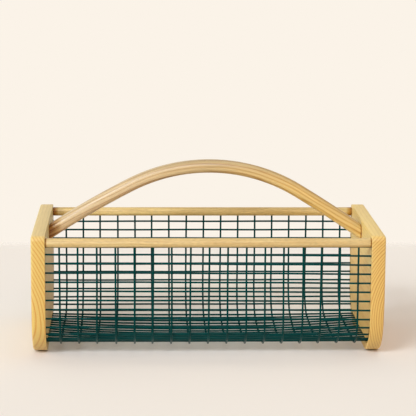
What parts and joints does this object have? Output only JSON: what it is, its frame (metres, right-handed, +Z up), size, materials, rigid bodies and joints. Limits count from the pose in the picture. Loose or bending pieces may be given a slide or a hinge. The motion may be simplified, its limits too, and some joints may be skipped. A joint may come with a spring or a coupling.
{
  "type": "garden trug basket",
  "caption": "Garden trug with pine end boards, two dowel rails, a bent wooden carrying handle and a U-shaped basket of green coated welded wire.",
  "frame": {"origin": "on the ground under the middle of the trug, half way between the two end boards", "axes": "+X along the trug from the left end board to the right one, +Y from front to back, +Z up"},
  "size_m": [0.48, 0.254, 0.2573],
  "materials": {
    "pine_board": "satin",
    "dowel": "satin",
    "bent_handle": "satin",
    "coated_wire": "satin",
    "screw_steel": "satin"
  },
  "bodies": {
    "root": {"left_end_board": "pine_board", "right_end_board": "pine_board", "front_rail": "dowel", "rear_rail": "dowel", "handle": "bent_handle", "rail_screws": "screw_steel", "handle_screws": "screw_steel", "front_wall_wires": "coated_wire", "front_bend_wires": "coated_wire", "floor_wires": "coated_wire", "rear_bend_wires": "coated_wire", "rear_wall_wires": "coated_wire", "girth_wire_01": "coated_wire", "girth_wire_02": "coated_wire", "girth_wire_03": "coated_wire", "girth_wire_04": "coated_wire", "girth_wire_05": "coated_wire", "girth_wire_06": "coated_wire", "girth_wire_07": "coated_wire", "girth_wire_08": "coated_wire", "girth_wire_09": "coated_wire", "girth_wire_10": "coated_wire", "girth_wire_11": "coated_wire", "girth_wire_12": "coated_wire", "girth_wire_13": "coated_wire", "girth_wire_14": "coated_wire", "girth_wire_15": "coated_wire", "girth_wire_16": "coated_wire", "girth_wire_17": "coated_wire", "girth_wire_18": "coated_wire", "girth_wire_19": "coated_wire"}
  },
  "joints": []
}
